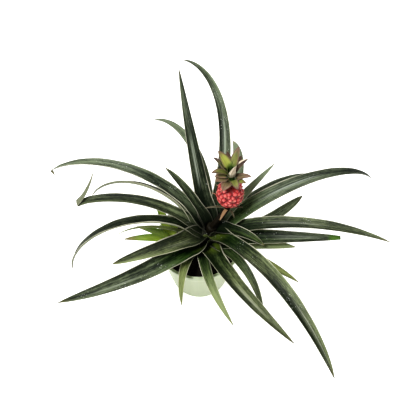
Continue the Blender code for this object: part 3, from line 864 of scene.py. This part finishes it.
EYES = 36
LOBES = 3
SKIN_ROWS, SKIN_COLUMNS = 150, 260
BARREL_RADIUS, BARREL_END_RADIUS = 16.0, 6.5
UPPER_HALF, LOWER_HALF = 19.6, 17.0
LOBE_HEIGHT, GROOVE_DEPTH = 2.1, 0.5
BRACT_STEPS = 6


def fruit_eyes():
    """Eye centres on the barrel as (angle, level), in a jittered golden-angle spiral."""
    golden = pi * (3 - sqrt(5))
    rng = np.random.default_rng(SEED)
    return [
        (i * golden + rng.uniform(-0.09, 0.09),
         -0.95 + 1.9 * (i + 0.5) / EYES + rng.uniform(-0.02, 0.02))
        for i in range(EYES)]


def barrel_point(angle, level, lift=0.0):
    """A point on the fruit in its own axes. Level runs from -1 at the foot to 1 at the crown."""
    squareness = 2.6 if level > 0 else 2.1
    bulge = (1 - min(1.0, abs(level)) ** squareness) ** (1 / squareness)
    end = BARREL_END_RADIUS * (1 - max(0.0, abs(level) - 0.985) * 40)
    radius = max(end, BARREL_RADIUS * bulge) + lift
    half_height = UPPER_HALF if level > 0 else LOWER_HALF
    return Vector((radius * cos(angle), radius * sin(angle), half_height * level))


def make_fruit(material):
    """The fruit's skin: each eye is three raised lobes round a dimple, with dark seams between."""
    axes = axes_along(FRUIT_AXIS)
    eyes = fruit_eyes()
    centres = np.array([tuple(barrel_point(a, level)) for a, level in eyes])
    rng = np.random.default_rng(SEED + 3)
    # how strongly the painted highlight shows on each eye's lobes
    highlight_shares = rng.uniform(0, 1, len(eyes))
    knobs, owners = [], []
    for index, (angle, _) in enumerate(eyes):
        spin = pi / 2 + rng.uniform(-0.4, 0.4)
        for k in range(LOBES):
            a = spin + tau * k / LOBES
            reach = rng.uniform(2.6, 3.3)
            knobs.append(tuple(
                Vector(centres[index]) + sideways(angle) * reach * cos(a)
                + Vector((0, 0, 1)) * reach * sin(a) + outward(angle) * rng.uniform(-0.3, 0.3)))
            owners.append(index)
    knobs = np.array(knobs)
    sizes = rng.uniform(3.0, 3.9, len(knobs))
    vertices, data = [], []
    for i in range(SKIN_ROWS + 1):
        level = 2 * i / SKIN_ROWS - 1
        level = 0.5 * sin(pi / 2 * level) + 0.5 * level
        for j in range(SKIN_COLUMNS):
            angle = tau * j / SKIN_COLUMNS
            p = barrel_point(angle, level)
            here = np.array(tuple(p))
            d = np.sqrt(((knobs - here) ** 2).sum(1)) / sizes
            first, second = sorted(np.argpartition(d, 2)[:2], key=lambda k: d[k])
            height = max(0.0, 1 - d[first] ** 2) ** 0.6
            seam = d[second] - d[first]
            eye_distance = np.sqrt(((centres - here) ** 2).sum(1))
            nearest = np.partition(eye_distance, 1)[:2]
            groove = 1 - smooth((nearest[1] - nearest[0]) / 1.5)
            bump = LOBE_HEIGHT * height * (0.55 + 0.45 * smooth(seam / 0.5)) - GROOVE_DEPTH * groove
            bump += 0.1 * noise.noise(p * 0.9)
            fade = smooth((1 - abs(level)) / 0.08)
            vertices.append(FRUIT_CENTRE + axes @ (p + outward(angle) * bump * fade))
            lobe = height * (0.35 + 0.65 * smooth(seam / 0.6))
            data.append((groove, lobe, highlight_shares[owners[first]]))
    faces = bands(SKIN_ROWS + 1, SKIN_COLUMNS) + caps(SKIN_ROWS + 1, SKIN_COLUMNS)
    return make_mesh("fruit_eyes", vertices, faces, {"eye": data}, material)


def make_eye_bracts(material):
    """A small pointed bract under each eye, lying up over it, drier and longer on some."""
    axes = axes_along(FRUIT_AXIS)
    rng = np.random.default_rng(SEED + 1)
    up = Vector((0, 0, 1))
    vertices, tones, faces = [], [], []
    for angle, level in fruit_eyes():
        length = rng.uniform(3.0, 4.4) if rng.uniform() < 0.6 else rng.uniform(7.5, 10.5)
        number = rng.uniform()
        width = rng.uniform(1.9, 2.8)
        lean = rng.uniform(-0.3, 0.3)
        curl = rng.uniform(0.2, 1.0)
        base = barrel_point(angle, level - 0.16, 1.5)
        out, east = outward(angle), sideways(angle)
        first = len(vertices)
        for i in range(BRACT_STEPS + 1):
            t = i / BRACT_STEPS
            rise = up * length * t * (0.9 - 0.25 * curl * t)
            away = out * (0.2 + length * (0.2 + 0.75 * curl * t) * t)
            centre = base + rise + away + east * lean * length * t
            half = width / 2 * (1 - t ** 1.5) + 0.06
            for x, lift in ((-1, 0.0), (0, 0.28), (1, 0.0), (0, -0.28)):
                p = centre + east * half * x + out * lift
                vertices.append(FRUIT_CENTRE + axes @ p)
                tones.append((t, number, 0))
        faces += bands(BRACT_STEPS + 1, 4, first)
        end = first + BRACT_STEPS * 4
        faces += [(first + 3, first + 2, first + 1, first), (end, end + 1, end + 2, end + 3)]
    return weld(make_mesh("fruit_eye_bracts", vertices, faces, {"tone": tones}, material))


# ---------------- pot and soil

FLOOR_BOTTOM, FLOOR_THICKNESS, FLOOR_RADIUS = 0.6, 1.0, 30.6
HOLES, HOLE_RADIUS, HOLE_CIRCLE = 8, 3.5, 27.0
SOIL_RADIUS = 55.2
SOIL_RINGS, SOIL_STEPS = 60, 180
CRUMBS = 430


def make_pot(material):
    neck, shoulder, shoulder_height = 57.4, 56.4, 88
    outside = [
        (POT_RIM - 0.6, POT_HEIGHT), (POT_RIM - 0.2, POT_HEIGHT - 0.15), (POT_RIM, POT_HEIGHT - 0.6),
        (POT_RIM, 97.2), (POT_RIM - 0.15, 97), (POT_RIM - 1.2, 97), (POT_RIM - 1.4, 97.2),
        (POT_RIM - 1.45, 98.4), (POT_RIM - 1.7, 98.6), (neck + 0.2, 98.6), (neck, 98.4),
        (neck - 0.1, 94), (neck - 0.2, 89), (neck - 0.35, 88.6), (shoulder, shoulder_height),
    ]
    for i in range(1, 12):
        z = shoulder_height - 85 * i / 11
        outside.append((POT_BASE + (shoulder - POT_BASE) * z / shoulder_height - 0.02, z))
    outside += [
        (POT_BASE + 0.1, 1.6), (POT_BASE - 0.3, 0.7), (POT_BASE - 1.0, 0.15), (POT_BASE - 1.6, 0.0),
        (36.0, 0.0), (35.4, FLOOR_BOTTOM), (30.9, FLOOR_BOTTOM), (30.5, FLOOR_BOTTOM),
    ]
    inside = [
        (30.5, POT_WALL + 0.2), (38.0, POT_WALL + 0.2), (38.8, 2.4), (55.0, 88.0), (56.0, 89.0),
        (56.0, 99.4), (56.25, 99.85), (56.6, POT_HEIGHT), (POT_RIM - 0.6, POT_HEIGHT),
    ]
    return lathe("pot_shell", outside + inside, 160, material)


def make_pot_floor(material):
    """The middle of the pot's floor, with its ring of drain holes."""
    shape = bmesh.new()
    mesh = bpy.data.meshes.new("pot_floor")
    bmesh.ops.create_circle(shape, cap_ends=True, segments=HOLES * 12, radius=FLOOR_RADIUS * MM)
    shape.to_mesh(mesh)
    shape.free()
    made = add_object("pot_floor", mesh)
    solid = made.modifiers.new("thick", "SOLIDIFY")
    solid.thickness = FLOOR_THICKNESS * MM
    solid.offset = 1
    made.location.z = FLOOR_BOTTOM * MM
    cutters = []
    for i in range(HOLES):
        spot = outward(tau * (i + 0.5) / HOLES) * HOLE_CIRCLE * MM
        bpy.ops.mesh.primitive_cylinder_add(
            vertices=28, radius=HOLE_RADIUS * MM, depth=0.01, location=(spot.x, spot.y, 0.001))
        cutters.append(bpy.context.object)
        boolean = made.modifiers.new("hole", "BOOLEAN")
        boolean.object = cutters[-1]
        boolean.solver = "EXACT"
    bpy.context.view_layer.update()
    graph = bpy.context.evaluated_depsgraph_get()
    final = bpy.data.meshes.new_from_object(made.evaluated_get(graph))
    final.transform(made.matrix_world)
    made.modifiers.clear()
    made.location.z = 0
    made.data = final
    for cutter in cutters:
        bpy.data.objects.remove(cutter)
    store(final, "pot", [(0.5 + v.co.x * 20, 0.04, 0) for v in final.vertices])
    final.materials.clear()
    final.materials.append(material)
    return made


def soil_height(x, y):
    """Damp soil, a little heaped in the middle and sunk at the wall, with lumps and grains."""
    r = hypot(x, y)
    level = SOIL_LEVEL + 1.2 * (1 - (r / 55) ** 2) - 1.6 * smooth((r - 47) / 8)
    lump = noise.fractal(Vector((x, y, 3.1)) * 0.16, 1.0, 2.0, 4)
    fine = noise.fractal(Vector((x, y, 9.7)) * 0.75, 0.8, 2.0, 3)
    return level + 0.9 * lump + 0.45 * fine


def make_soil(material):
    spokes = [tau * j / SOIL_STEPS for j in range(SOIL_STEPS)]
    vertices = [(0, 0, soil_height(0, 0))]
    for i in range(1, SOIL_RINGS + 1):
        r = SOIL_RADIUS * i / SOIL_RINGS
        for a in spokes:
            x, y = r * cos(a), r * sin(a)
            vertices.append((x, y, soil_height(x, y)))
    for r, z in ((54.7, 84.0), (38.9, 4.0), (37.8, 1.9)):
        vertices += [(r * cos(a), r * sin(a), z) for a in spokes]
    faces = [(0, 1 + j, 1 + (j + 1) % SOIL_STEPS) for j in range(SOIL_STEPS)]
    faces += [(a, d, c, b) for a, b, c, d in bands(SOIL_RINGS + 3, SOIL_STEPS, 1)]
    faces.append(tuple(range(len(vertices) - SOIL_STEPS, len(vertices)))[::-1])
    return make_mesh("soil_surface", vertices, faces, {}, material)


def make_crumbs(material):
    """Loose crumbs of soil lying on the surface."""
    rng = np.random.default_rng(SEED + 2)
    shape = bmesh.new()
    bmesh.ops.create_icosphere(shape, subdivisions=2, radius=1.0)
    unit = [v.co.copy() for v in shape.verts]
    unit_faces = [tuple(v.index for v in f.verts) for f in shape.faces]
    shape.free()
    vertices, faces = [], []
    for index in range(CRUMBS):
        r = 53.5 * sqrt(rng.uniform(0.0, 1.0))
        a = rng.uniform(0, tau)
        x, y = r * cos(a), r * sin(a)
        size = rng.uniform(0.5, 1.5) if rng.uniform() < 0.85 else rng.uniform(1.5, 2.4)
        stretch = Vector((rng.uniform(0.6, 1.6), rng.uniform(0.6, 1.3), rng.uniform(0.5, 0.9))) * size
        turn = Matrix.Rotation(rng.uniform(0, tau), 3, "Z")
        centre = Vector((x, y, soil_height(x, y) + 0.25 * size))
        first = len(vertices)
        for v in unit:
            rough = 1 + 0.35 * noise.noise(v * 1.7 + Vector((index, 0, 0)))
            p = Vector((v.x * stretch.x, v.y * stretch.y, v.z * stretch.z)) * rough
            vertices.append(centre + turn @ p)
        faces += [tuple(first + i for i in f) for f in unit_faces]
    return make_mesh("soil_crumbs", vertices, faces, {}, material)


# ---------------- build


def place(piece, slot, *nodes):
    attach(piece, "root")
    if nodes:
        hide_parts(*nodes)


leaf_surface = leaf_material()
for name, row in ROSETTE.items():
    blade = make_blade(
        "blade_" + name, row._replace(**FULLER.get(name, {})), STEM, STEM_ROOT_DEPTH, LOOKS[name],
        leaf_surface, cut_at=CUT_TIPS.get(name, 1.0), crease=CREASES.get(name),
        base=FOOT_WIDTHS.get(name))
    place(blade, "young_leaf" if name in YOUNG_LEAVES else "leaf", "leaf_" + name)

pup_surface = pup_material()
for name, row in PUP_LEAVES.items():
    look = Look(PUP_LIGHT[name], sheath=6.0)
    blade = make_blade(
        "pup_blade_" + name, row, PUP_STEM, SOIL_LEVEL - PUP_STEM.foot.z, look, pup_surface,
        base=row.width + 1)
    place(blade, "pup_leaf", "pup_leaf_" + name)

# painted shade: the stem's dark brown fibre is deepened near to black, as it sits in shade among the
# leaf bases
stem_surface = stem_material("stem_surface", (0.003, 0.003, 0.0015), (0.018, 0.014, 0.006))
for name, core, thin in (("stem", STEM, 1.2), ("pup_stem", PUP_STEM, 0.4)):
    points = [core.foot + (core.head - core.foot) * (i / 24) for i in range(25)]
    made = tube(
        name + "_surface", points,
        lambda f, a, c=core, t=thin: (c.foot_radius + (c.head_radius - c.foot_radius) * f - t)
        * (1 + 0.03 * cos(3 * a + 9 * f)), stem_surface)
    place(made, "stem", name)

# painted shade: the stalk's brown, pink and green is deepened near to black, as it sits in shade
# under the fruit
stalk_surface = stem_material("stalk_surface", (0.002, 0.002, 0.001), (0.02, 0.014, 0.007))
stem_axis = (STEM.head - STEM.foot).normalized()
stalk_start = STEM.head - stem_axis * 4
stalk_end = FRUIT_CENTRE - FRUIT_AXIS * (FRUIT_HALF_HEIGHT - 6)
stalk_points = bezier(
    stalk_start, stalk_start + stem_axis * 20, stalk_end - FRUIT_AXIS * 18, stalk_end, 40)
stalk = tube(
    "stalk_surface_tube", stalk_points,
    lambda f, a: STALK_RADIUS * (1 + 0.06 * cos(5 * a) + 0.25 * max(0, f - 0.85) / 0.15),
    stalk_surface)
place(stalk, "stalk", "fruit_stalk")

stalk_head = FRUIT_CENTRE - FRUIT_AXIS * (FRUIT_HALF_HEIGHT + CROWN_GAP)
stalk_core = Core(stalk_head - FRUIT_AXIS * 8, stalk_head, 4.8, 4.5, axes_along(FRUIT_AXIS))
bract_surface = bract_material()
for name, row in BRACTS.items():
    slim = row._replace(**BRACT_FULLER.get(name, dict(width=row.width * BRACT_SLIMNESS)))
    blade = make_blade(
        "bract_blade_" + name, slim, stalk_core, 0, BRACT_LOOKS[name]._replace(sheath=2.0),
        bract_surface, base=slim.width)
    place(blade, "bract", "bract_" + name)

place(make_fruit(fruit_material()), "fruit", "fruit")
place(make_eye_bracts(spike_material()), "fruit")

tilt = CROWN_AXIS.angle(FRUIT_AXIS)
crown_foot = FRUIT_CENTRE + FRUIT_AXIS * (FRUIT_HALF_HEIGHT + CROWN_GAP + 6 * sin(tilt))
crown_core = Core(crown_foot, crown_foot + CROWN_AXIS * CROWN_HEIGHT, 6, 2.5, axes_along(CROWN_AXIS))
crown_surface = crown_material()
for name, row in CROWN.items():
    blade = make_blade(
        "crown_blade_" + name, row._replace(**CROWN_FULLER.get(name, {})), crown_core, 0,
        CROWN_LOOKS[name]._replace(sheath=3.0), crown_surface, base=row.width)
    place(blade, "crown_leaf", "crown_leaf_" + name)
core_points = [crown_foot - CROWN_AXIS * 2 + CROWN_AXIS * (CROWN_HEIGHT * i / 16) for i in range(17)]
core_surface = stem_material("crown_core_surface", (0.01, 0.03, 0.004), (0.04, 0.08, 0.012))
core = tube("crown_core_surface", core_points, lambda f, a: 5.6 - 4.2 * f, core_surface)
place(core, "crown_leaf", "crown_core")

pot_surface = pot_material()
place(make_pot(pot_surface), "pot", "pot")
place(make_pot_floor(pot_surface), "pot")
soil_look = soil_material()
place(make_soil(soil_look), "soil", "potting_soil")
place(make_crumbs(soil_look), "soil")

# ---------------- stage, light and camera


def make_floor():
    n = Nodes("studio_floor")
    n.surface((0.93, 0.93, 0.93), 0.9, 0.1)
    n.link((1.0, 1.0, 1.0), n.shader.inputs["Emission Color"])
    n.link(0.6, n.shader.inputs["Emission Strength"])
    bpy.ops.mesh.primitive_plane_add(size=40, location=(0, 0, -0.0002))
    made = bpy.context.object
    made.name = "studio_floor"
    made.data.materials.append(n.material)


def area_light(name, position, target, size, power):
    data = bpy.data.lights.new(name, "AREA")
    data.shape = "DISK"
    data.size = size
    data.energy = power
    made = add_object(name, data)
    made.location = position
    made.rotation_euler = (Vector(target) - Vector(position)).to_track_quat("-Z", "Y").to_euler()


def make_camera():
    elevation = radians(59.5)
    distance = 1.25
    aim = Vector((0.0124, 0.024, 0.147))
    data = bpy.data.cameras.new("camera")
    data.lens = 80
    data.sensor_width = 36
    made = add_object("camera", data)
    made.location = aim - Vector((0, cos(elevation), -sin(elevation))) * distance
    made.rotation_euler = (pi / 2 - elevation, 0, 0)
    bpy.context.scene.camera = made


make_floor()
area_light("key", (-0.45, -0.3, 1.45), (0.02, 0, 0.15), 0.4, 18)
area_light("streak", (0.12, 0.85, 1.45), (0.03, 0.03, 0.18), 0.35, 10)
area_light("fill", (0.9, -0.8, 0.9), (0.02, 0, 0.1), 0.9, 3)
world = bpy.data.worlds.new("studio")
world.use_nodes = True
background = world.node_tree.nodes["Background"]
background.inputs["Color"].default_value = (1, 1, 1, 1)
background.inputs["Strength"].default_value = 0.2
scene = bpy.context.scene
scene.world = world
scene.view_settings.view_transform = "Standard"
scene.view_settings.look = "Medium High Contrast"
make_camera()

bpy.context.view_layer.update()
